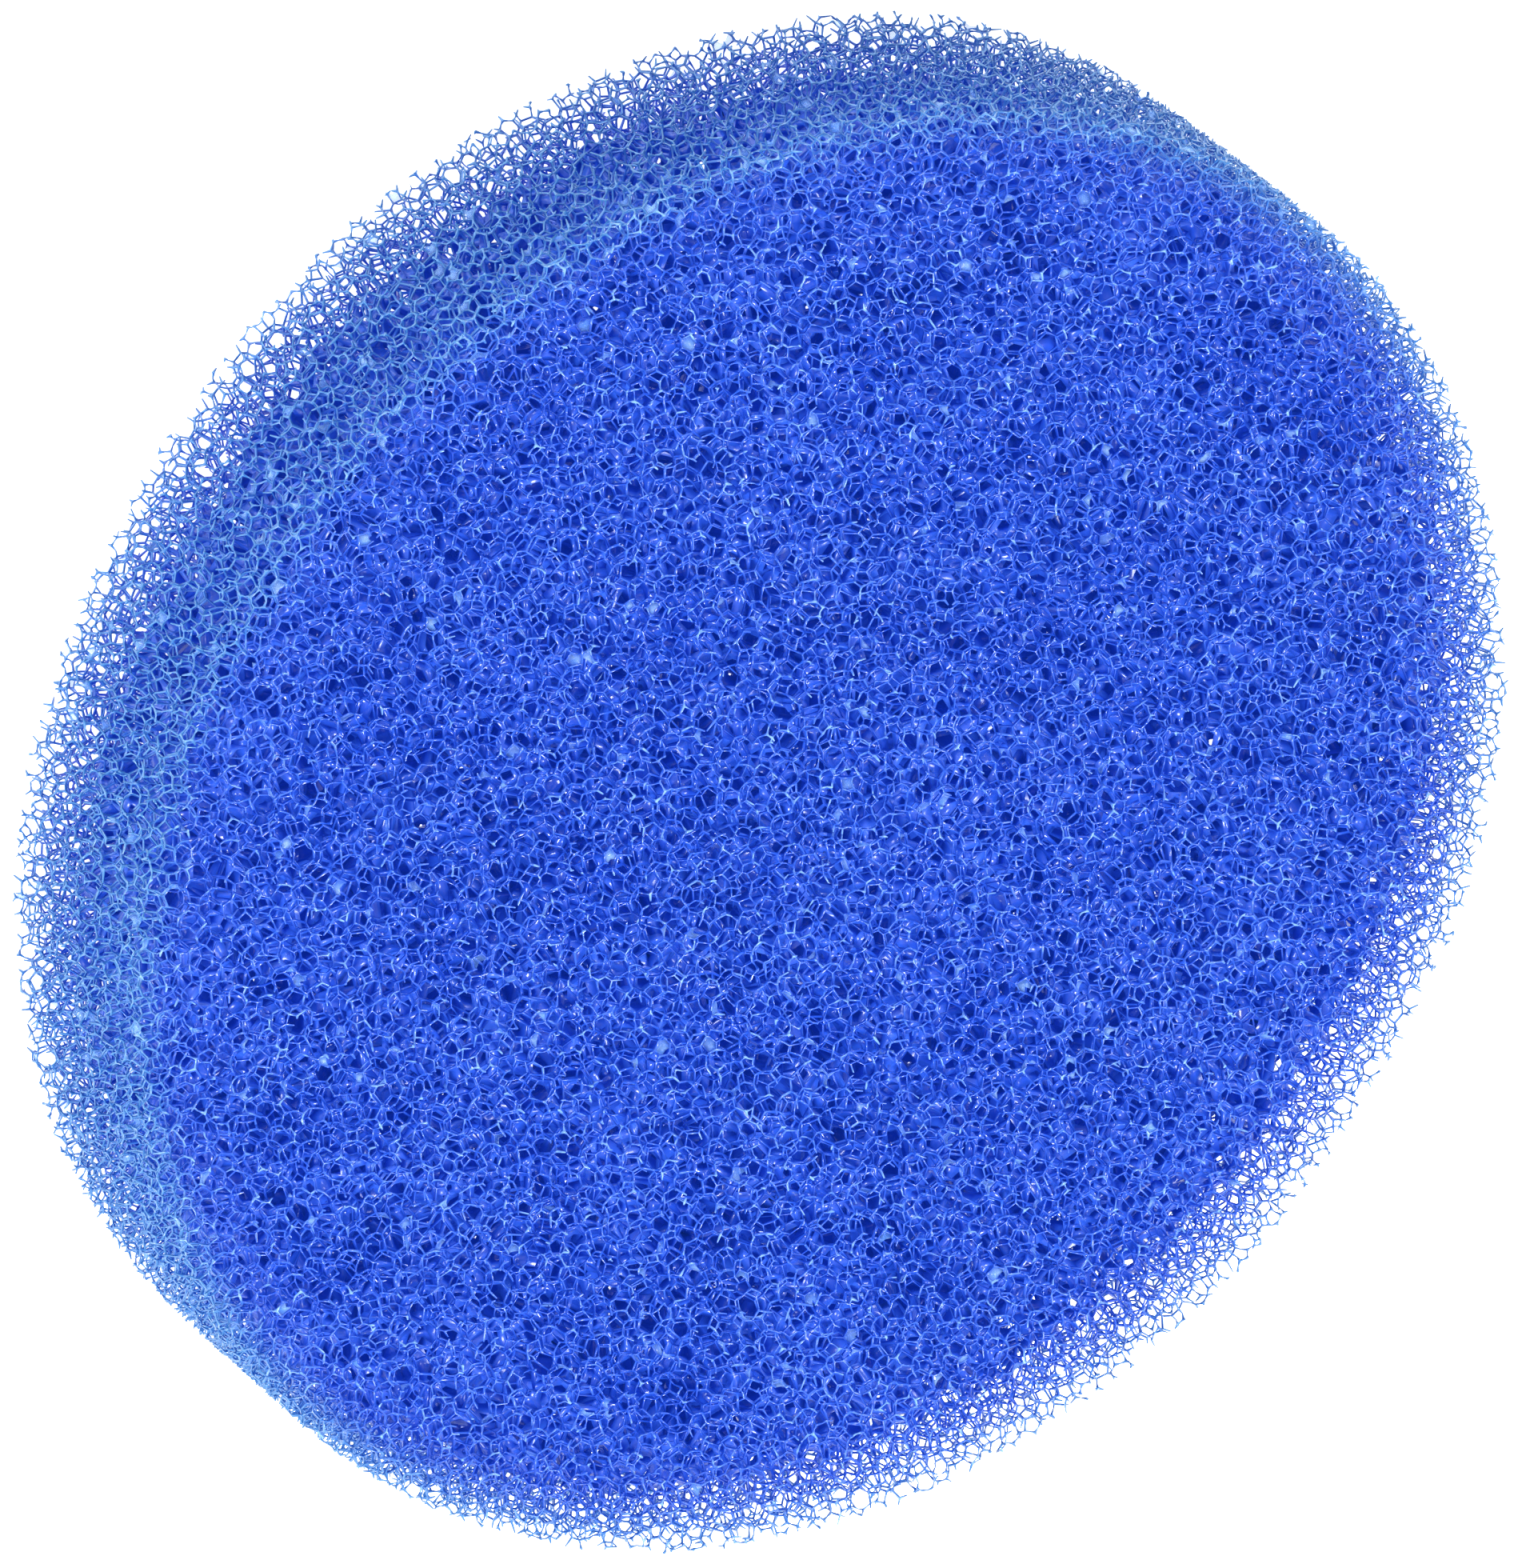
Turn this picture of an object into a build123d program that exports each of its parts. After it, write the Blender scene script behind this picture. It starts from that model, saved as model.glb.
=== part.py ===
from build123d import *
import os

# Round pad of coarse open-cell foam, die-cut from a sheet, for a filter canister.
# The pad lies flat: its lower face is on the XY plane, centred on the origin,
# and +Z runs through its thickness.
# All sizes are in millimetres.

# Driving dimensions
pad_diameter = 150.0
pad_thickness = 25.0
edge_rounding = 0.4  # a die-cut edge is crisp, but never knife sharp

pad_radius = pad_diameter / 2

os.makedirs("parts", exist_ok=True)

# The foam pad: one solid disc with the outer shape of the foam.
with BuildPart() as foam_pad:
    with BuildSketch(Plane.XY) as die_outline:
        Circle(pad_radius)
    extrude(amount=pad_thickness)
    cut_edges = foam_pad.edges().filter_by(GeomType.CIRCLE)
    fillet(cut_edges, radius=edge_rounding)

foam_pad.part.label = "foam_pad"
export_step(foam_pad.part, "parts/foam_pad.step")
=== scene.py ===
"""A round pad of coarse blue open-cell foam, for the canister of a water filter.

The foam is grown the way foam grows. Cell centres are scattered and pushed
apart, the cells meet in flat windows, three windows meet along each strand and
four strands meet at each knot. Only the strands are solid. The pad is then cut
from this network with a round die, so its faces and rim are open cells with
free strand ends. Everything is in metres, in the frame of the CAD model.
"""

import logging
import math
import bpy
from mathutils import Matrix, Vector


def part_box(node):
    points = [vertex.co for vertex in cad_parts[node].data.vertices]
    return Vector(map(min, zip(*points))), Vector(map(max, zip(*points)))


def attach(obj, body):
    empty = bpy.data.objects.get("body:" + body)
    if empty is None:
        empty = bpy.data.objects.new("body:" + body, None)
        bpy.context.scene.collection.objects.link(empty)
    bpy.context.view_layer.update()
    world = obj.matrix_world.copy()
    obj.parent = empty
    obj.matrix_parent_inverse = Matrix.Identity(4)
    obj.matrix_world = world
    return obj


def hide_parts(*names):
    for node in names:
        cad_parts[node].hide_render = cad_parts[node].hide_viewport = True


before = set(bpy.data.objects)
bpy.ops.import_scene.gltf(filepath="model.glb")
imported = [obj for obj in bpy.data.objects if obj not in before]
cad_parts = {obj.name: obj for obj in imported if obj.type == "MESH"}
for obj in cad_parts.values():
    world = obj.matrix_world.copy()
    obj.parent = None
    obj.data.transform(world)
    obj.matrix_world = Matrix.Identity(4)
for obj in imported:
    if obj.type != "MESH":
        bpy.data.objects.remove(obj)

from concurrent.futures import ThreadPoolExecutor
from dataclasses import dataclass, field
from enum import Enum
from itertools import combinations

import bpy
import numpy as np
from mathutils import Matrix, Vector
from mathutils.kdtree import KDTree

CAD_NODE = "foam_pad"
BODY = "root"
MM = 0.001
TINY = 1e-9  # keeps a division by a length from failing
ROUNDING = 1e-7  # the share by which equal distances may differ

log = logging.getLogger("foam_pad")
Array = np.ndarray
Colour = tuple[float, float, float]

# The three cells that are left when one of a knot's four cells is left out.
TRIPLES = tuple(tuple(c for c in range(4) if c != left_out) for left_out in range(4))


class StrandEnd(Enum):
    """What closes a strand that doesn't run on to its far knot."""

    SECTOR_EDGE = "the edge of a sector, where the next sector's strand meets it"
    CUT = "the cut surface of the pad"


@dataclass(frozen=True)
class FoamGrade:
    """Sizes of the foam's cells and strands, in metres.

    The foam is true to size down to fine_depth. Below that little can be seen,
    and the cells grow towards the middle of the pad to keep the mesh small.

    Args:
        cell_volume: The mean volume of a cell at the surface.
        core_ratio: How many times larger the cells are in the core.
        fine_depth: Where the cells start to grow.
        core_depth: Where they have grown to the core's size.
        waist_depth: How deep strands are given a thin waist.
        knot_reach: From a knot's middle to its corners, with waists.
        plain_reach: The same for strands without a waist.
        waist_radius: From the middle of a waist to its ridges.
        core_stout: How many times stouter for their cells core strands are.
        stout_from: How far on the way to the core strands start to grow stout.
        stout_to: How far on that way they are at their stoutest.
        size_spread: How much one cell's size differs from the next one's.
        bow: How far a waist lies off the straight line, for each length.
    """

    cell_volume: float = 7.3 * MM**3
    core_ratio: float = 18.0
    fine_depth: float = 2.4 * MM
    core_depth: float = 5.8 * MM
    waist_depth: float = 0.5 * MM
    knot_reach: float = 0.17 * MM
    plain_reach: float = 0.138 * MM
    waist_radius: float = 0.078 * MM
    core_stout: float = 2.5
    stout_from: float = 0.2
    stout_to: float = 0.7
    size_spread: float = 0.08
    bow: float = 0.06

    def volume_at(self, depth: Array) -> Array:
        """The mean cell volume at a depth.

        Args:
            depth: Distances below the cut surface, negative outside.

        Returns:
            One volume for each depth.
        """
        way = (depth - self.fine_depth) / (self.core_depth - self.fine_depth)
        way = np.clip(way, 0.0, 1.0)
        smooth = way * way * (3.0 - 2.0 * way)
        return self.cell_volume * (1.0 + (self.core_ratio - 1.0) * smooth)

    def thickness_at(self, depth: Array) -> Array:
        """How many times thicker than at the surface the strands are."""
        volume = self.volume_at(depth)
        core = (volume / self.cell_volume - 1.0) / (self.core_ratio - 1.0)
        way = (core - self.stout_from) / (self.stout_to - self.stout_from)
        stout = 1.0 + (self.core_stout - 1.0) * np.clip(way, 0.0, 1.0)
        return np.cbrt(volume / self.cell_volume) * stout

    def spacing_at(self, depth: Array) -> Array:
        """The distance between neighbouring cell centres at a depth."""
        return np.cbrt(self.volume_at(depth) * math.sqrt(2.0))


@dataclass(frozen=True)
class CutShape:
    """The shape that the die cuts, with the small unevenness of cut foam.

    Args:
        radius: The pad's radius.
        height: The pad's thickness.
        rim_wave: The size of the rim's waves.
        rim_lean: How fast the rim's waves turn with height, in radians a metre.
        face_wave: The size of the faces' waves.
        waves: How many waves add up on each surface.
        rim_low: How far below nothing the size of a wave of the rim starts.
        shortest: The shortest wave of a face, for the radius.
        seed: The source of chance.
        edge_spare: How far the foam stays fine round the pad's two edges.
    """

    radius: float
    height: float
    rim_wave: float = 0.45 * MM
    rim_lean: float = 90.0
    face_wave: float = 0.25 * MM
    waves: int = 9
    rim_low: float = 0.3
    shortest: float = 0.3
    seed: int = 5
    edge_spare: float = 3.7 * MM

    def depth(self, points: Array) -> Array:
        """How deep points lie inside the cut surface, negative outside."""
        x, y, z = points[:, 0], points[:, 1], points[:, 2]
        around = np.hypot(x, y)
        rim = self.radius + self._rim_offset(np.arctan2(y, x), z) - around
        top = self.height + self._face_offset(x, y, 0) - z
        bottom = z + self._face_offset(x, y, 1)
        return np.minimum(rim, np.minimum(top, bottom))

    def unseen_depth(self, points: Array) -> Array:
        """How deep points lie out of sight: less near the edges, seen right through."""
        around = np.hypot(points[:, 0], points[:, 1])
        height = np.abs(points[:, 2] - self.height / 2.0) - self.height / 2.0
        edge = np.hypot(self.radius - around, height)
        return np.minimum(self.depth(points), edge - self.edge_spare)

    def _rim_offset(self, angle: Array, z: Array) -> Array:
        """The rim's distance outside its nominal radius."""
        random = np.random.default_rng(self.seed)
        offset = np.zeros_like(angle)
        for turn in range(2, 2 + self.waves):
            phase, lean, size = random.random(3)
            lean = (lean - 0.5) * self.rim_lean
            swing = np.sin(turn * angle + lean * z + phase * math.tau)
            offset += (size - self.rim_low) * swing
        return offset * self.rim_wave / 2.0

    def _face_offset(self, x: Array, y: Array, face: int) -> Array:
        """A face's distance outside its nominal plane."""
        random = np.random.default_rng(self.seed + 1 + face)
        offset = np.zeros_like(x)
        for _ in range(self.waves):
            heading, phase, length = random.random(3)
            along = x * math.cos(heading * math.tau) + y * math.sin(heading * math.tau)
            pitch = self.radius * (self.shortest + length)
            offset += np.sin(math.tau * (along / pitch + phase))
        return offset * self.face_wave / 3.0


@dataclass
class CellSeeds:
    """The centres of the foam's cells, in and just outside the pad.

    Args:
        grade: The foam's sizes.
        cut: The pad's shape.
        margin: How far the centres go on outside the pad.
        rounds: How often they are pushed apart.
        pushers: How many neighbours push each one.
        reach_share: How near two centres start to push, for the room they want.
        push_share: How far one round moves them, for the same.
        sizes: The smallest and the largest cell, for the mean one.
        seed: The source of chance.
        points: The centres.
        own_size: The size of each cell, for the mean one.
    """

    grade: FoamGrade
    cut: CutShape
    margin: float = 2.7 * MM
    rounds: int = 12
    pushers: int = 14
    reach_share: float = 0.62
    push_share: float = 0.32
    sizes: tuple[float, float] = (0.65, 1.45)
    seed: int = 11
    points: Array = field(default_factory=lambda: np.zeros((0, 3)))
    own_size: Array = field(default_factory=lambda: np.zeros(0))

    def grow(self) -> Array:
        """Scatters the centres and pushes them apart.

        Returns:
            The centres, one row each.
        """
        self._scatter()
        for _ in range(self.rounds):
            self._push_apart()
        return self.points

    def nearest(self, count: int) -> Array:
        """The indices of each centre's nearest neighbours, without itself."""
        tree = KDTree(len(self.points))
        for at, point in enumerate(self.points):
            tree.insert(point, at)
        tree.balance()
        found = [[hit[1] for hit in tree.find_n(p, count + 1)] for p in self.points]
        return np.array(found)[:, 1:]

    def _scatter(self) -> None:
        """Random centres, fewer where the cells are larger."""
        random = np.random.default_rng(self.seed)
        outer, tall = self._limits()
        volume = math.pi * outer**2 * tall
        number = int(volume / self.grade.cell_volume)
        away = outer * np.sqrt(random.random(number))
        angle = math.tau * random.random(number)
        z = tall * random.random(number) - self.margin
        points = np.stack([away * np.cos(angle), away * np.sin(angle), z], axis=1)
        deep = self.cut.unseen_depth(points)
        chance = self.grade.cell_volume / self.grade.volume_at(deep)
        self.points = points[random.random(number) < chance]
        self.own_size = random.normal(1.0, self.grade.size_spread, len(self.points))
        self.own_size = np.clip(self.own_size, *self.sizes)

    def _limits(self) -> tuple[float, float]:
        """The radius and height of the block that the centres fill."""
        return self.cut.radius + self.margin, self.cut.height + 2.0 * self.margin

    def _push_apart(self) -> None:
        """Moves each centre away from neighbours closer than it wants."""
        near = self.nearest(self.pushers)
        deep = self.cut.unseen_depth(self.points)
        want = self.grade.spacing_at(deep) * self.own_size
        gap = self.points[:, None, :] - self.points[near]
        distance = np.linalg.norm(gap, axis=2)
        reach = self.reach_share * (want[:, None] + want[near])
        push = np.clip(1.0 - distance / reach, 0.0, None) / distance
        move = (gap * push[:, :, None]).sum(axis=1) * want[:, None] * self.push_share
        self.points = self.points + move
        outer, tall = self._limits()
        away = np.hypot(self.points[:, 0], self.points[:, 1])
        self.points[:, :2] *= np.minimum(1.0, outer / away)[:, None]
        self.points[:, 2] = np.clip(self.points[:, 2], -self.margin, tall - self.margin)


@dataclass
class Skeleton:
    """The foam's knots and the strands between them, as points and links.

    Each knot is where four cells meet. Strand number c of a knot runs away from
    the knot's cell c, between its three other cells.

    Args:
        seeds: The cells' centres.
        outside: How far outside the pad a cell still gets its knots.
        tried: How many neighbours a cell may share a knot with.
        tested: How many neighbours a knot has to be clear of.
        screened: How many of them it is tested against first, to save time.
        batch: How many cells are worked on together.
        threads: How many batches are worked on at a time.
        flat: Four cells count as lying in one plane below this size, in cubic
            millimetres, and have no knot.
        knots: The knots' places.
        cells: The four cells of each knot, in rising order.
        link: The knots that its four strands run to, or -1.
        link_slot: The number that each strand has at its far knot.
        sign: On which side of its first three cells its last one is.
    """

    seeds: CellSeeds
    outside: float = 2.0 * MM
    tried: int = 28
    tested: int = 60
    screened: int = 8
    batch: int = 120
    threads: int = 4
    flat: float = 1e-6
    knots: Array = field(default_factory=lambda: np.zeros((0, 3)))
    cells: Array = field(default_factory=lambda: np.zeros((0, 4), int))
    link: Array = field(default_factory=lambda: np.zeros((0, 4), int))
    link_slot: Array = field(default_factory=lambda: np.zeros((0, 4), int))
    sign: Array = field(default_factory=lambda: np.zeros(0))

    def build(self) -> None:
        """Finds the knots, links them, and lets them settle."""
        near = self.seeds.nearest(self.tested)
        depth = self.seeds.cut.depth(self.seeds.points)
        wanted = np.nonzero(depth > -self.outside)[0]
        triples = np.array(list(combinations(range(self.tried), 3)))
        batches = [wanted[a : a + self.batch] for a in range(0, len(wanted), self.batch)]
        with ThreadPoolExecutor(self.threads) as pool:
            found = list(pool.map(lambda b: self._knots_of(b, near, triples), batches))
        cells = np.concatenate([f[0] for f in found])
        places = np.concatenate([f[1] for f in found])
        keys = (cells.astype(np.uint64) * self._place_value(4)).sum(axis=1)
        _, first = np.unique(keys, return_index=True)
        self.cells, self.knots = cells[first], places[first]
        self._orient()
        self._link_up()

    def settle(self, rounds: int = 3, pull: float = 0.42, stir: float = 0.05 * MM) -> None:
        """Evens out the strands, as surface tension does, then stirs them a little.

        Args:
            rounds: How often each knot is moved.
            pull: How far it moves towards the middle of its neighbours.
            stir: How far knots end up from their even places.
        """
        whole = (self.link >= 0).all(axis=1)
        for _ in range(rounds):
            middle = self.knots[self.link[whole]].mean(axis=1)
            self.knots[whole] += pull * (middle - self.knots[whole])
        random = np.random.default_rng(self.seeds.seed + 1)
        self.knots[whole] += random.normal(0.0, stir, (int(whole.sum()), 3))

    @staticmethod
    def _place_value(digits: int) -> Array:
        """Weights that pack a row of cell numbers under 65536 in one number."""
        return np.array([1 << (16 * d) for d in reversed(range(digits))], np.uint64)

    def _knots_of(self, batch: Array, near: Array, triples: Array) -> tuple[Array, Array]:
        """The knots round a batch of cells.

        Args:
            batch: The cells' numbers.
            near: Each cell's nearest neighbours.
            triples: The triples of neighbours to try.

        Returns:
            Each knot's four cells in rising order, and its place.
        """
        points = self.seeds.points
        arm = points[near[batch]] - points[batch][:, None, :]
        square = (arm * arm).sum(axis=2)
        few = arm[:, : self.tried]
        first, second = np.triu_indices(self.tried, 1)
        crossed = np.cross(few[:, first], few[:, second])
        pair_at = np.zeros((self.tried, self.tried), int)
        pair_at[first, second] = np.arange(len(first))
        i, j, k = triples.T
        jk = crossed[:, pair_at[j, k]]
        determinant = np.einsum("ntc,ntc->nt", few[:, i], jk)
        centre = square[:, i, None] * jk
        centre -= square[:, j, None] * crossed[:, pair_at[i, k]]
        centre += square[:, k, None] * crossed[:, pair_at[i, j]]
        solid = np.abs(determinant) >= self.flat * MM**3
        centre /= 2.0 * np.where(solid, determinant, np.inf)[:, :, None]
        slack = ROUNDING * square[:, :1, None]
        screen = few[:, : self.screened].transpose(0, 2, 1)
        inner = np.matmul(centre, screen) * 2.0
        good = (inner <= square[:, None, : self.screened] + slack).all(axis=2)
        good &= solid
        cell, triple = np.nonzero(good)
        place = centre[cell, triple]
        outer = np.einsum("sc,skc->sk", place, arm[cell]) * 2.0
        empty = (outer <= square[cell] + slack[cell, :, 0]).all(axis=1)
        cell, triple, place = cell[empty], triple[empty], place[empty]
        own = batch[cell]
        others = near[own[:, None], triples[triple]]
        cells = np.sort(np.concatenate([own[:, None], others], axis=1), axis=1)
        return cells, place + points[own]

    def _orient(self) -> None:
        """Notes on which side of its first three cells each knot's last one is."""
        corner = self.seeds.points[self.cells]
        edge = corner[:, 1:] - corner[:, :1]
        self.sign = np.sign(np.linalg.det(edge))

    def _link_up(self) -> None:
        """Links the knots that share three cells."""
        weight = self._place_value(3)
        keys = [
            (self.cells[:, list(triple)].astype(np.uint64) * weight).sum(axis=1)
            for triple in TRIPLES
        ]
        keys = np.stack(keys, axis=1).ravel()
        order = np.argsort(keys, kind="stable")
        ranked = keys[order]
        same = ranked[1:] == ranked[:-1]
        crowded = np.zeros_like(same)
        crowded[1:] |= same[:-1]
        crowded[:-1] |= same[1:]
        same &= ~crowded
        one, other = order[:-1][same], order[1:][same]
        end = np.full(len(keys), -1)
        end[one], end[other] = other, one
        self.link = np.where(end < 0, -1, end // 4).reshape(-1, 4)
        self.link_slot = np.where(end < 0, 0, end % 4).reshape(-1, 4)


@dataclass
class SolidParts:
    """Points and faces of solid strands, each face with its sector's number.

    Args:
        points: The points, in batches.
        faces: The faces' point numbers and their sectors, in batches.
        count: How many points there are.
    """

    points: list[Array] = field(default_factory=list)
    faces: list[tuple[Array, Array]] = field(default_factory=list)
    count: int = 0

    def add_points(self, points: Array) -> int:
        """Adds points, and says what number the first of them got."""
        self.points.append(points)
        self.count += len(points)
        return self.count - len(points)

    def add_faces(self, corners: list[Array], sector: Array, flip: Array) -> None:
        """Adds faces.

        Args:
            corners: The point numbers of each corner in turn, one array each.
            sector: The sector of each face.
            flip: True where a face's corners are to be taken the other way.
        """
        ahead = np.stack(corners, axis=1)
        faces = np.where(flip[:, None], ahead[:, ::-1], ahead)
        self.faces.append((faces, sector))


@dataclass
class StrandSolids:
    """Gives the skeleton's strands their solid, three-sided shape.

    A knot has four corners, one towards each cell that meets there. A strand
    has three ridges, one in each cell beside it, and three sides that face the
    windows between those cells.

    Args:
        skeleton: The knots and links.
        grade: The foam's sizes.
        cut: The pad's shape.
        sectors: How many pieces the pad is made in.
        seed: The source of chance.
        cut_noise: How ragged the cut ends are.
        crumb_rounds: How often loose ends are looked for.
        knot_share: How large a knot may be, for its shortest strand.
        smallest_knot: The smallest a knot may be, for its full size.
        stub_share: The shortest stub, for its knot's size.
        stub_spare: What is added to the shortest stub.
        longest_stub: The longest stub, for the strand that was cut.
        even_share: A deep strand's size at a sector's edge, for its two knots.
        parts: The points and faces made.
        depth: Each knot's depth.
        inside: Whether each knot is kept.
        sector: Each knot's sector.
        way: The directions of each knot's strands.
        length: Their lengths.
        reach: From each knot's middle to its corners.
        waist: The size of its strands' waists.
        corner: Its four corners.
        number: The number of the first of them, or -1.
    """

    skeleton: Skeleton
    grade: FoamGrade
    cut: CutShape
    sectors: int = 12
    seed: int = 23
    cut_noise: float = 0.12 * MM
    crumb_rounds: int = 3
    knot_share: float = 0.8
    smallest_knot: float = 0.55
    stub_share: float = 0.4
    stub_spare: float = 0.06 * MM
    longest_stub: float = 0.95
    even_share: float = 0.47
    parts: SolidParts = field(default_factory=SolidParts)
    depth: Array = field(init=False)
    inside: Array = field(init=False)
    sector: Array = field(init=False)
    way: Array = field(init=False)
    length: Array = field(init=False)
    reach: Array = field(init=False)
    waist: Array = field(init=False)
    corner: Array = field(init=False)
    number: Array = field(init=False)

    def build(self) -> None:
        """Makes every knot and strand inside the cut shape."""
        self._choose()
        self._place_corners()
        self._strands()

    def _choose(self) -> None:
        """Keeps the knots inside the cut, without loose crumbs."""
        skeleton = self.skeleton
        self.depth = self.cut.depth(skeleton.knots)
        inside = (self.depth > 0.0) & (skeleton.link >= 0).all(axis=1)
        for _ in range(self.crumb_rounds):
            held = inside[skeleton.link] & (skeleton.link >= 0)
            inside &= held.sum(axis=1) > 0
            lone = inside & (held.sum(axis=1) == 1)
            partner = np.where(held, skeleton.link, 0).max(axis=1)
            inside &= ~(lone & lone[partner])
        self.inside = inside
        angle = np.arctan2(skeleton.knots[:, 1], skeleton.knots[:, 0])
        self.sector = np.floor((angle / math.tau + 0.5) * self.sectors).astype(int)
        self.sector = np.clip(self.sector, 0, self.sectors - 1)

    def _place_corners(self) -> None:
        """Places the four corners of each knot."""
        skeleton = self.skeleton
        ends = skeleton.knots[np.where(skeleton.link < 0, 0, skeleton.link)]
        way = ends - skeleton.knots[:, None, :]
        self.length = np.linalg.norm(way, axis=2)
        self.way = way / np.maximum(self.length, TINY)[:, :, None]
        scale = self.grade.thickness_at(self.cut.unseen_depth(skeleton.knots))
        shallow = self.depth < self.grade.waist_depth
        reach = np.where(shallow, self.grade.knot_reach, self.grade.plain_reach)
        reach *= scale
        room = self.knot_share * self.length.min(axis=1)
        self.reach = np.clip(room, self.smallest_knot * reach, reach)
        self.waist = self.grade.waist_radius * scale
        corners = []
        for cell in range(4):
            lean = self.way.sum(axis=1) - 2.0 * self.way[:, cell]
            lean /= np.linalg.norm(lean, axis=1)[:, None]
            corners.append(skeleton.knots + lean * self.reach[:, None])
        self.corner = np.stack(corners, axis=1)
        self.number = np.full(len(skeleton.knots), -1)
        kept = np.nonzero(self.inside)[0]
        self.number[kept] = 4 * np.arange(len(kept))
        self.parts.add_points(self.corner[kept].reshape(-1, 3))

    def _strands(self) -> None:
        """Sorts the strands by how they end, and makes each kind."""
        link, inside = self.skeleton.link, self.inside
        knot, slot = np.nonzero(inside[:, None] & (link >= 0))
        far = link[knot, slot]
        far_slot = self.skeleton.link_slot[knot, slot]
        whole = inside[far]
        same = self.sector[knot] == self.sector[far]
        shallow = np.minimum(self.depth[knot], self.depth[far]) < self.grade.waist_depth
        once = knot < far
        plain = whole & same & ~shallow & once
        waisted = whole & same & shallow & once
        parted = whole & ~same
        cut = ~whole
        self._plain(knot[plain], slot[plain], far[plain], far_slot[plain])
        self._waisted(knot[waisted], slot[waisted], far[waisted], far_slot[waisted])
        for kind, end in ((parted, StrandEnd.SECTOR_EDGE), (cut, StrandEnd.CUT)):
            self._capped(knot[kind], slot[kind], far[kind], far_slot[kind], end)

    def _turn(self, knot: Array, slot: Array) -> Array:
        """True where a strand's three cells run anticlockwise, seen from its end."""
        odd = slot % 2 == 1
        return (self.skeleton.sign[knot] > 0) != odd

    def _sides(self, near: Array, far: Array, sector: Array, turn: Array) -> None:
        """The three sides between a ring of three points and another."""
        for side in range(3):
            after = (side + 1) % 3
            corners = [near[:, side], near[:, after], far[:, after], far[:, side]]
            self.parts.add_faces(corners, sector, ~turn)

    def _mouth(self, knot: Array, slot: Array) -> Array:
        """The point numbers of a strand's three ridges at its knot."""
        return self.number[knot][:, None] + np.array(TRIPLES)[slot]

    def _plain(self, knot: Array, slot: Array, far: Array, far_slot: Array) -> None:
        """Strands that run straight from knot to knot."""
        mouths = self._mouth(knot, slot), self._mouth(far, far_slot)
        self._sides(*mouths, self.sector[knot], self._turn(knot, slot))

    def _waisted(self, knot: Array, slot: Array, far: Array, far_slot: Array) -> None:
        """Strands with a ring in the middle, where they are thinnest."""
        half = np.full(len(knot), 0.5)
        middle = self._ring(knot, slot, far, far_slot, half, self.waist[knot])
        random = np.random.default_rng(self.seed + 1)
        bow = random.normal(0.0, self.grade.bow, (len(knot), 1, 3))
        middle += bow * self.length[knot, slot][:, None, None]
        first = self.parts.add_points(middle.reshape(-1, 3))
        ring = first + np.arange(3 * len(knot)).reshape(-1, 3)
        turn = self._turn(knot, slot)
        self._sides(self._mouth(knot, slot), ring, self.sector[knot], turn)
        self._sides(ring, self._mouth(far, far_slot), self.sector[knot], turn)

    def _capped(
        self, knot: Array, slot: Array, far: Array, far_slot: Array, end: StrandEnd
    ) -> None:
        """Strands that end in a cap.

        Args:
            knot: The knots that the strands start from.
            slot: Each strand's number at its knot.
            far: The knots that the strands ran to.
            far_slot: Each strand's number there.
            end: What the strands end at.
        """
        length = self.length[knot, slot]
        thick = self.waist[knot]
        if end is StrandEnd.CUT:
            here, there = self.depth[knot], self.depth[far]
            share = here / np.maximum(here - there, TINY)
            random = np.random.default_rng(self.seed)
            share += random.normal(0.0, self.cut_noise, len(knot)) / length
            least = (self.stub_share * self.reach[knot] + self.stub_spare) / length
            share = np.clip(share, least, np.maximum(least, self.longest_stub))
        else:
            share = np.full(len(knot), 0.5)
            shallow = np.minimum(self.depth[knot], self.depth[far])
            even = self.even_share * (self.reach[knot] + self.reach[far])
            thick = np.where(shallow < self.grade.waist_depth, thick, even)
        points = self._ring(knot, slot, far, far_slot, share, thick)
        first = self.parts.add_points(points.reshape(-1, 3))
        ring = first + np.arange(3 * len(knot)).reshape(-1, 3)
        turn = self._turn(knot, slot)
        self._sides(self._mouth(knot, slot), ring, self.sector[knot], turn)
        self.parts.add_faces(list(ring.T), self.sector[knot], ~turn)

    def _ring(
        self,
        knot: Array,
        slot: Array,
        far: Array,
        far_slot: Array,
        share: Array,
        thick: Array,
    ) -> Array:
        """The three ridge points of a strand part of the way along it.

        Args:
            knot: The knots that the strands start from.
            slot: Each strand's number at its knot.
            far: The knots that the strands run to.
            far_slot: Each strand's number there.
            share: How far along each strand the ring is, from 0 to 1.
            thick: The ridges' distance from the strand's middle line.

        Returns:
            Three points for each strand.
        """
        skeleton = self.skeleton
        start = skeleton.knots[knot]
        centre = start + (skeleton.knots[far] - start) * share[:, None]
        axis = self.way[knot, slot][:, None, :]
        lean = np.zeros((len(knot), 3, 3))
        for end, number in ((knot, slot), (far, far_slot)):
            corner = self.corner[end[:, None], np.array(TRIPLES)[number]]
            out = corner - skeleton.knots[end][:, None, :]
            out -= (out * axis).sum(axis=2)[:, :, None] * axis
            lean += out / np.maximum(np.linalg.norm(out, axis=2), TINY)[:, :, None]
        lean /= np.maximum(np.linalg.norm(lean, axis=2), TINY)[:, :, None]
        return centre[:, None, :] + lean * thick[:, None, None]


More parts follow.
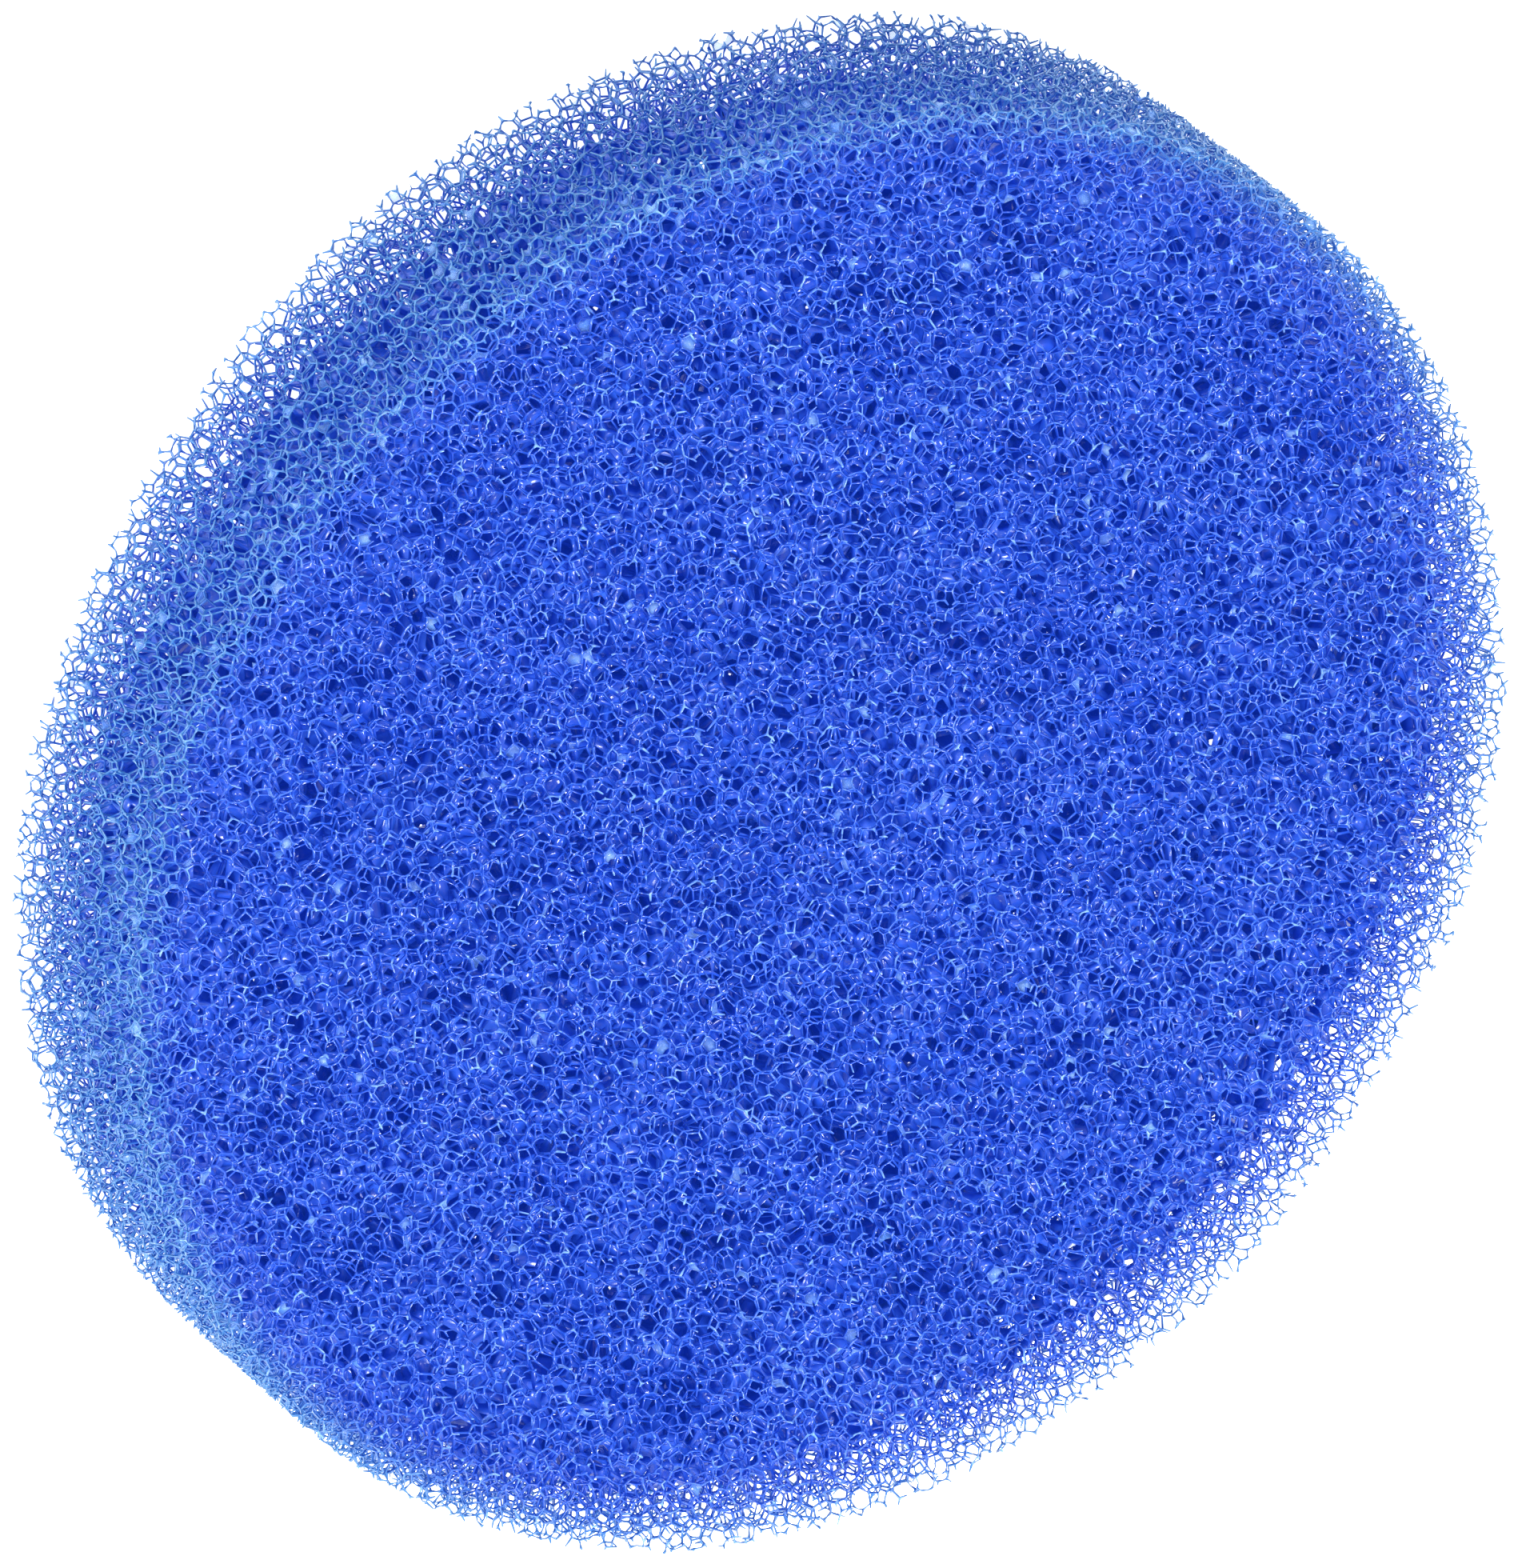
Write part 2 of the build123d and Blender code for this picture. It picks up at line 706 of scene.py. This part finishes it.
@dataclass
class WindowFilms:
    """Thin films left in some of the foam's windows.

    Each film is a closed, nearly flat lens whose rim lies inside the strands
    round the window. Most are torn, and the ones at the cut surface end in a
    ragged edge.

    Args:
        solids: The strands that the films hang between.
        share: The share of whole windows that get a film.
        cut_share: The share of cut windows that get one.
        outside: How far outside the pad a window's knots may be.
        deepest: The deepest knots with a film.
        widest: The widest window with a film, from its middle.
        bulge: Half a film's thickness in its middle.
        lean: How far its middle lies off its plane, for its bulge.
        torn: The share of films that are torn.
        torn_corners: How many knots a torn film hangs from, to choose from.
        torn_to: How far a torn film goes towards the window's middle.
        cut_to: How far a cut film goes along the cut strands beside it.
        ragged_to: How far its ragged edge goes back.
        seed: The source of chance.
        points: The films' points.
        triangles: The point numbers of their triangles.
        count: How many points there are.
    """

    solids: StrandSolids
    share: float = 0.08
    cut_share: float = 0.2
    outside: float = 2.0 * MM
    deepest: float = 2.4 * MM
    widest: float = 0.95 * MM
    bulge: float = 0.015 * MM
    lean: float = 3.0
    torn: float = 0.97
    torn_corners: tuple[int, ...] = (2, 2, 3)
    torn_to: tuple[float, float] = (0.2, 0.9)
    cut_to: tuple[float, float] = (0.3, 0.9)
    ragged_to: tuple[float, float] = (0.0, 0.8)
    seed: int = 31
    points: list[Array] = field(default_factory=list)
    triangles: list[Array] = field(default_factory=list)
    count: int = 0

    def build(self) -> None:
        """Makes a film in each window that is chosen."""
        random = np.random.default_rng(self.seed)
        for axis, ring in self._windows(random):
            outline = self._outline(ring, random)
            if outline is not None:
                self._lens(axis, outline, random)

    def _windows(self, random: np.random.Generator) -> list[tuple[Array, Array]]:
        """The windows that get a film.

        Returns:
            For each window its axis, and its knots in turn round that axis.
        """
        skeleton, depth = self.solids.skeleton, self.solids.depth
        near = np.nonzero((depth < self.deepest) & (depth > -self.outside))[0]
        pairs = np.array(list(combinations(range(4), 2)))
        cells = skeleton.cells[near][:, pairs].reshape(-1, 2)
        knots = np.repeat(near, len(pairs))
        order = np.lexsort((cells[:, 1], cells[:, 0]))
        cells, knots = cells[order], knots[order]
        starts = np.nonzero(np.any(cells[1:] != cells[:-1], axis=1))[0] + 1
        rings = np.split(knots, starts)
        pair = cells[np.concatenate([[0], starts])]
        inside = np.array([self.solids.inside[ring].mean() for ring in rings])
        chance = np.where(inside == 1.0, self.share, self.cut_share)
        chosen = (random.random(len(rings)) < chance) & (inside > 0.0)
        centres = skeleton.seeds.points
        found = []
        for at in np.nonzero(chosen)[0]:
            axis = centres[pair[at, 1]] - centres[pair[at, 0]]
            axis /= np.linalg.norm(axis)
            found.append((axis, self._in_turn(axis, rings[at])))
        return found

    def _in_turn(self, axis: Array, ring: Array) -> Array:
        """Sorts a window's knots by their angle round the window's axis."""
        arm = self.solids.skeleton.knots[ring]
        arm = arm - arm.mean(axis=0)
        across = np.cross(axis, arm[0])
        angle = np.arctan2(arm @ across, arm @ np.cross(across, axis))
        return ring[np.argsort(angle)]

    def _outline(self, ring: Array, random: np.random.Generator) -> Array | None:
        """The outline of a film.

        Args:
            ring: The window's knots in turn.
            random: The source of chance.

        Returns:
            The outline's corners in turn, or None for too small a film.
        """
        places = self.solids.skeleton.knots[ring]
        inside = self.solids.inside[ring]
        middle = places.mean(axis=0)
        wide = np.linalg.norm(places - middle, axis=1).max() > self.widest
        if wide or len(ring) < 3 or not inside.any():
            return None
        if inside.all():
            if random.random() > self.torn:
                return places
            kept = random.choice(self.torn_corners)
            turned = np.roll(places, random.integers(len(ring)), axis=0)[:kept]
            near = turned.mean(axis=0)
            tip = near + (middle - near) * random.uniform(*self.torn_to)
            return np.concatenate([turned, tip[None]])
        first = next(n for n in range(len(ring)) if inside[n] and not inside[n - 1])
        places, inside = np.roll(places, -first, axis=0), np.roll(inside, -first)
        depth = np.roll(self.solids.depth[ring], -first)
        kept = int(inside.sum())
        if not inside[:kept].all():
            return None
        ends = []
        for here, there in ((kept - 1, kept), (0, -1)):
            share = depth[here] / max(depth[here] - depth[there], depth[here])
            share *= random.uniform(*self.cut_to)
            ends.append(places[here] + (places[there] - places[here]) * share)
        ragged = 0.5 * (ends[0] + ends[1])
        inner = places[:kept].mean(axis=0)
        ragged += (inner - ragged) * random.uniform(*self.ragged_to)
        return np.concatenate([places[:kept], [ends[0], ragged, ends[1]]])

    def _lens(self, axis: Array, outline: Array, random: np.random.Generator) -> None:
        """Adds one film between its two slightly bulged sides."""
        size = len(outline)
        middle = outline.mean(axis=0)
        lean = axis * self.bulge * random.uniform(-self.lean, self.lean)
        apexes = [middle + lean + axis * self.bulge, middle + lean - axis * self.bulge]
        self.points.append(np.concatenate([outline, apexes]))
        here = np.arange(size)
        after = (here + 1) % size
        upper = np.stack([here, after, np.full(size, size)], axis=1)
        lower = np.stack([after, here, np.full(size, size + 1)], axis=1)
        self.triangles.append(np.concatenate([upper, lower]) + self.count)
        self.count += size + 2


def patchy_group() -> bpy.types.NodeTree:
    """Makes the node group for colour that varies from place to place.

    Returns:
        The group: a scale and two colours in, a colour and a share out.
    """
    group = bpy.data.node_groups.new("patchy", "ShaderNodeTree")
    face = group.interface
    scale = face.new_socket("Scale", in_out="INPUT", socket_type="NodeSocketFloat")
    scale.default_value = 100.0
    for name in ("Low", "High"):
        face.new_socket(name, in_out="INPUT", socket_type="NodeSocketColor")
    face.new_socket("Color", in_out="OUTPUT", socket_type="NodeSocketColor")
    face.new_socket("Share", in_out="OUTPUT", socket_type="NodeSocketFloat")
    given = group.nodes.new("NodeGroupInput")
    result = group.nodes.new("NodeGroupOutput")
    place = group.nodes.new("ShaderNodeTexCoord")
    grain = group.nodes.new("ShaderNodeTexNoise")
    grain.inputs["Detail"].default_value = 2.0
    spread = group.nodes.new("ShaderNodeMapRange")
    spread.inputs["From Min"].default_value = 0.3
    spread.inputs["From Max"].default_value = 0.7
    tint = group.nodes.new("ShaderNodeMix")
    tint.data_type = "RGBA"
    join = group.links.new
    join(place.outputs["Object"], grain.inputs["Vector"])
    join(given.outputs["Scale"], grain.inputs["Scale"])
    join(grain.outputs["Fac"], spread.inputs["Value"])
    join(spread.outputs["Result"], tint.inputs["Factor"])
    join(given.outputs["Low"], tint.inputs["A"])
    join(given.outputs["High"], tint.inputs["B"])
    join(tint.outputs["Result"], result.inputs["Color"])
    join(spread.outputs["Result"], result.inputs["Share"])
    return group


@dataclass(frozen=True)
class Finish:
    """A finish whose colour and gloss vary from place to place.

    Args:
        name: The material's name.
        low: The one end of its colours.
        high: The other end of its colours.
        scale: How fine the variation is.
        roughness: The middle of its roughness.
        gloss_spread: How far the roughness varies, both ways.
        specular: How strongly it reflects.
        alpha: How much it covers what is behind it.
        glow: The colour of light that it gives off itself. On the foam's strands
            and films this is a painted glow, standing in for light passed on from
            behind; on the floor it is the even glow of a light table.
        glow_strength: How strong that glow is.
        edge: The painted backlight: the colour that the foam nears at the pad's rim,
            standing in for light passing through the last few strands.
        painted_backlight_width: How far in from the rim that painted backlight starts.
        painted_backlight_full: How far outside the rim its colour is reached.
        fleck_and_highlight: The colour of the frayed flecks on the strands that the
            cut faces show, paled further as a painted highlight.
        fleck_and_highlight_scale: How fine the flecks are.
        fleck_and_highlight_from: The patches' share at which a fleck starts to show.
        fleck_and_highlight_to: The patches' share at which it shows in full.
        fleck_and_highlight_depth: How far below the faces the flecks start.
        fleck_and_highlight_full: How far below the faces they are as strong as they get.
    """

    name: str
    low: Colour
    high: Colour
    scale: float = 90.0
    roughness: float = 0.34
    gloss_spread: float = 0.12
    specular: float = 0.5
    alpha: float = 1.0
    glow: Colour = (0.0, 0.0, 0.0)
    glow_strength: float = 0.0
    edge: Colour = (1.0, 1.0, 1.0)
    painted_backlight_width: float = 5.0 * MM
    painted_backlight_full: float = 0.5 * MM
    fleck_and_highlight: Colour = (1.0, 1.0, 1.0)
    fleck_and_highlight_scale: float = 650.0
    fleck_and_highlight_from: float = 0.62
    fleck_and_highlight_to: float = 0.9
    fleck_and_highlight_depth: float = 1.3 * MM
    fleck_and_highlight_full: float = 0.1 * MM

    def material(
        self, patchy: bpy.types.NodeTree, cut: CutShape | None = None
    ) -> bpy.types.Material:
        """Builds the material round the shared node group.

        Args:
            patchy: The shared node group.
            cut: The pad's shape, for the painted backlight at its rim and the frayed
            flecks with painted highlight on its faces.

        Returns:
            The material.
        """
        made = bpy.data.materials.new(self.name)
        made.use_nodes = True
        nodes, links = made.node_tree.nodes, made.node_tree.links
        shader = nodes["Principled BSDF"]
        patches = nodes.new("ShaderNodeGroup")
        patches.node_tree = patchy
        patches.inputs["Scale"].default_value = self.scale
        patches.inputs["Low"].default_value = (*self.low, 1.0)
        patches.inputs["High"].default_value = (*self.high, 1.0)
        colour = patches.outputs["Color"]
        if cut is not None:
            # painted backlight: the foam pales towards its rim, as light passing through
            # the last strands would make it
            colour = self._painted_rim_backlight(made.node_tree, colour, cut.radius)
            # frayed flecks near the two faces, paled further as a painted highlight
            colour = self._add_flecks_and_highlight(made.node_tree, patchy, colour, cut.height / 2.0)
        links.new(colour, shader.inputs["Base Color"])
        gloss = nodes.new("ShaderNodeMapRange")
        gloss.inputs["To Min"].default_value = self.roughness - self.gloss_spread
        gloss.inputs["To Max"].default_value = self.roughness + self.gloss_spread
        links.new(patches.outputs["Share"], gloss.inputs["Value"])
        links.new(gloss.outputs["Result"], shader.inputs["Roughness"])
        shader.inputs["Specular IOR Level"].default_value = self.specular
        shader.inputs["Alpha"].default_value = self.alpha
        # The foam's and films' emission is painted glow, standing in for light passed
        # through them; the floor's is a light table's even glow.
        shader.inputs["Emission Color"].default_value = (*self.glow, 1.0)
        shader.inputs["Emission Strength"].default_value = self.glow_strength
        made.cycles.emission_sampling = "NONE"
        return made

    def _painted_rim_backlight(
        self, tree: bpy.types.NodeTree, colour: bpy.types.NodeSocket, radius: float
    ) -> bpy.types.NodeSocket:
        """Mixes in painted backlight, the edge's colour, by the distance from the axis.

        Args:
            tree: The material's nodes.
            colour: The colour in the middle of the pad.
            radius: The pad's radius.

        Returns:
            The mixed colour.
        """
        place = tree.nodes.new("ShaderNodeTexCoord")
        flat = tree.nodes.new("ShaderNodeVectorMath")
        flat.operation = "MULTIPLY"
        flat.inputs[1].default_value = (1.0, 1.0, 0.0)
        away = tree.nodes.new("ShaderNodeVectorMath")
        away.operation = "LENGTH"
        near = tree.nodes.new("ShaderNodeMapRange")
        near.interpolation_type = "SMOOTHSTEP"
        near.inputs["From Min"].default_value = radius - self.painted_backlight_width
        near.inputs["From Max"].default_value = radius + self.painted_backlight_full
        tint = tree.nodes.new("ShaderNodeMix")
        tint.data_type = "RGBA"
        tint.inputs["B"].default_value = (*self.edge, 1.0)
        tree.links.new(place.outputs["Object"], flat.inputs[0])
        tree.links.new(flat.outputs["Vector"], away.inputs[0])
        tree.links.new(away.outputs["Value"], near.inputs["Value"])
        tree.links.new(near.outputs["Result"], tint.inputs["Factor"])
        tree.links.new(colour, tint.inputs["A"])
        return tint.outputs["Result"]

    def _add_flecks_and_highlight(
        self,
        tree: bpy.types.NodeTree,
        patchy: bpy.types.NodeTree,
        colour: bpy.types.NodeSocket,
        half: float,
    ) -> bpy.types.NodeSocket:
        """Adds pale flecks to a colour, only near the pad's two faces.

        The flecks are frayed strand ends, paled further as a painted highlight.

        Args:
            tree: The material's nodes.
            patchy: The shared node group, which says where the flecks are.
            colour: The colour between the flecks.
            half: Half the pad's thickness.

        Returns:
            The flecked colour.
        """
        place = tree.nodes.new("ShaderNodeTexCoord")
        parts = tree.nodes.new("ShaderNodeSeparateXYZ")
        from_middle = tree.nodes.new("ShaderNodeMath")
        from_middle.operation = "SUBTRACT"
        from_middle.inputs[1].default_value = half
        away = tree.nodes.new("ShaderNodeMath")
        away.operation = "ABSOLUTE"
        face = tree.nodes.new("ShaderNodeMapRange")
        face.inputs["From Min"].default_value = half - self.fleck_and_highlight_depth
        face.inputs["From Max"].default_value = half - self.fleck_and_highlight_full
        patches = tree.nodes.new("ShaderNodeGroup")
        patches.node_tree = patchy
        patches.inputs["Scale"].default_value = self.fleck_and_highlight_scale
        spots = tree.nodes.new("ShaderNodeMapRange")
        spots.inputs["From Min"].default_value = self.fleck_and_highlight_from
        spots.inputs["From Max"].default_value = self.fleck_and_highlight_to
        share = tree.nodes.new("ShaderNodeMath")
        share.operation = "MULTIPLY"
        tint = tree.nodes.new("ShaderNodeMix")
        tint.data_type = "RGBA"
        tint.inputs["B"].default_value = (*self.fleck_and_highlight, 1.0)
        join = tree.links.new
        join(place.outputs["Object"], parts.inputs["Vector"])
        join(parts.outputs["Z"], from_middle.inputs[0])
        join(from_middle.outputs["Value"], away.inputs[0])
        join(away.outputs["Value"], face.inputs["Value"])
        join(patches.outputs["Share"], spots.inputs["Value"])
        join(face.outputs["Result"], share.inputs[0])
        join(spots.outputs["Result"], share.inputs[1])
        join(share.outputs["Value"], tint.inputs["Factor"])
        join(colour, tint.inputs["A"])
        return tint.outputs["Result"]


STRAND = Finish(
    name="foam_strand",
    low=(0.02, 0.093, 0.63),
    high=(0.039, 0.142, 0.72),
    roughness=0.22,
    gloss_spread=0.08,
    specular=0.8,
    # painted glow: the strands give off blue light of their own, standing in for light
    # passed through them into the pores
    glow=(0.008, 0.055, 0.48),
    glow_strength=0.23,
    # painted backlight at the rim, where light passes through the last few strands
    edge=(0.052, 0.207, 0.46),
    # frayed flecks near the faces, paled further as a painted highlight
    fleck_and_highlight=(0.2, 0.42, 0.84),
)
FILM = Finish(
    name="foam_film",
    low=(0.12, 0.36, 0.95),
    high=(0.42, 0.66, 0.97),
    scale=900.0,
    roughness=0.25,
    specular=0.7,
    alpha=0.3,
    # painted glow: the films give off light of their own, standing in for light passed
    # through them
    glow=(0.15, 0.35, 0.8),
    glow_strength=0.25,
)
PALE_FLOOR = Finish(
    name="pale_floor",
    low=(0.90, 0.90, 0.88),
    high=(0.93, 0.93, 0.91),
    scale=3.0,
    roughness=0.9,
    gloss_spread=0.02,
    specular=0.3,
    glow=(0.97, 1.0, 0.88),
    glow_strength=1.1,
)


@dataclass
class FoamPad:
    """The foam pad, made as sectors that meet strand to strand.

    The pad is one block of foam: its sectors only keep each mesh small enough.

    Args:
        patchy: The shared node group.
        grade: The foam's sizes.
    """

    patchy: bpy.types.NodeTree
    grade: FoamGrade = field(default_factory=FoamGrade)

    def build(self) -> list[bpy.types.Object]:
        """Grows, cuts and dresses the foam.

        Returns:
            The pad's sectors, and its films.
        """
        low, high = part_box(CAD_NODE)
        cut = CutShape(radius=(high.x - low.x) / 2.0, height=high.z - low.z)
        seeds = CellSeeds(self.grade, cut)
        seeds.grow()
        log.info("cells scattered: %d", len(seeds.points))
        skeleton = Skeleton(seeds)
        skeleton.build()
        log.info("knots: %d", len(skeleton.knots))
        skeleton.settle()
        solids = StrandSolids(skeleton, self.grade, cut)
        solids.build()
        strand = STRAND.material(self.patchy, cut)
        made = [self._sector(solids, n, strand) for n in range(solids.sectors)]
        return [*made, self._films(solids)]

    def _sector(
        self, solids: StrandSolids, number: int, finish: bpy.types.Material
    ) -> bpy.types.Object:
        """Makes one sector of the strands."""
        points = np.concatenate(solids.parts.points)
        loops, totals = [], []
        for faces, sector in solids.parts.faces:
            mine = faces[sector == number]
            loops.append(mine.ravel())
            totals.append(np.full(len(mine), faces.shape[1]))
        used, renumbered = np.unique(np.concatenate(loops), return_inverse=True)
        name = f"foam_sector_{number + 1:02d}"
        loops = renumbered.ravel()
        return self._piece(name, points[used], loops, np.concatenate(totals), finish)

    def _films(self, solids: StrandSolids) -> bpy.types.Object:
        """Makes the films."""
        films = WindowFilms(solids)
        films.build()
        points = np.concatenate(films.points)
        loops = np.concatenate(films.triangles)
        totals = np.full(len(loops), 3)
        finish = FILM.material(self.patchy)
        return self._piece("foam_films", points, loops.ravel(), totals, finish)

    def _piece(
        self,
        name: str,
        points: Array,
        loops: Array,
        totals: Array,
        finish: bpy.types.Material,
    ) -> bpy.types.Object:
        """Makes one object of the pad.

        Args:
            name: The object's name.
            points: Its points.
            loops: The point numbers of its faces, one face after another.
            totals: How many points each face has.
            finish: Its material.

        Returns:
            The object, in the scene, hung on the body's empty, with the CAD part hidden.
        """
        mesh = bpy.data.meshes.new(name)
        mesh.vertices.add(len(points))
        mesh.vertices.foreach_set("co", points.astype(np.float32).ravel())
        mesh.loops.add(len(loops))
        mesh.loops.foreach_set("vertex_index", loops.astype(np.int32))
        mesh.polygons.add(len(totals))
        starts = np.concatenate([[0], np.cumsum(totals)[:-1]])
        mesh.polygons.foreach_set("loop_start", starts.astype(np.int32))
        mesh.update(calc_edges=True)
        mesh.validate()
        mesh.shade_smooth()
        mesh.materials.append(finish)
        piece = bpy.data.objects.new(name, mesh)
        bpy.context.scene.collection.objects.link(piece)
        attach(piece, BODY)
        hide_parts(CAD_NODE)
        log.info("%s: %d triangles", name, int((totals - 2).sum()))
        return piece


@dataclass(frozen=True)
class Studio:
    """The pale floor, the soft lights and the camera.

    Args:
        patchy: The shared node group.
        tilt: How far the camera leans over from straight above, in degrees.
        roll: How far it is turned round its own axis, in degrees.
        distance: From the camera to the pad's middle.
        lens: Its focal length, in millimetres.
        aside: How far it stands to the left of the pad's middle.
        above: How far it stands above it, in the picture.
        floor_size: The length of the floor's sides.
        surround: The strength of the even light from all round.
    """

    patchy: bpy.types.NodeTree
    tilt: float = 39.97
    roll: float = 230.67
    distance: float = 3.045
    lens: float = 732.0
    aside: float = 0.6 * MM
    above: float = 0.22 * MM
    floor_size: float = 12.0
    surround: float = 0.75

    def build(self) -> None:
        """Sets up everything round the pad."""
        low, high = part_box(CAD_NODE)
        self._floor()
        self._lights()
        self._camera(Vector((0.0, 0.0, (low.z + high.z) / 2.0)))
        view = bpy.context.scene.view_settings
        view.view_transform = "Standard"

    def _floor(self) -> None:
        """A plain pale floor that glows a little, as a light table does."""
        bpy.ops.object.select_all(action="DESELECT")
        bpy.ops.mesh.primitive_plane_add(size=self.floor_size)
        floor = bpy.context.object
        floor.name = "floor"
        floor.data.materials.append(PALE_FLOOR.material(self.patchy))

    def _lights(self) -> None:
        """A bright even surround, with one large soft lamp and one small one."""
        world = bpy.data.worlds.new("surround")
        world.use_nodes = True
        sky = world.node_tree.nodes["Background"]
        sky.inputs["Color"].default_value = (1.0, 1.0, 1.0, 1.0)
        sky.inputs["Strength"].default_value = self.surround
        bpy.context.scene.world = world
        self._lamp("key_lamp", Vector((0.5, 0.9, 1.3)), size=0.5, power=24.0)
        self._lamp("glint_lamp", Vector((-0.7, -0.2, 1.1)), size=0.3, power=10.0)

    def _lamp(self, name: str, place: Vector, size: float, power: float) -> None:
        """Adds a square lamp that faces the pad."""
        data = bpy.data.lights.new(name, "AREA")
        data.size = size
        data.energy = power
        lamp = bpy.data.objects.new(name, data)
        lamp.location = place
        lamp.rotation_euler = (-place).to_track_quat("-Z", "Y").to_euler()
        bpy.context.scene.collection.objects.link(lamp)

    def _camera(self, target: Vector) -> None:
        """A long lens far off, leaning over the pad and rolled on its side."""
        tilt = math.radians(self.tilt)
        back = Vector((math.sin(tilt), 0.0, math.cos(tilt)))
        right = Vector((0.0, 1.0, 0.0))
        up = back.cross(right)
        turn = Matrix.Rotation(-math.radians(self.roll), 3, back)
        right, up = turn @ right, turn @ up
        data = bpy.data.cameras.new("camera")
        data.lens = self.lens
        data.clip_end = 100.0
        camera = bpy.data.objects.new("camera", data)
        place = target + back * self.distance - right * self.aside + up * self.above
        axes = Matrix((right, up, back)).transposed().to_4x4()
        camera.matrix_world = Matrix.Translation(place) @ axes
        bpy.context.scene.collection.objects.link(camera)
        bpy.context.scene.camera = camera


def main() -> None:
    """Builds the pad and the studio."""
    logging.basicConfig(level=logging.INFO, format="%(name)s: %(message)s")
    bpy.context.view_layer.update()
    patchy = patchy_group()
    Studio(patchy).build()
    made = FoamPad(patchy).build()
    log.info("pieces of the pad: %d", len(made))


if __name__ == "__main__":
    main()
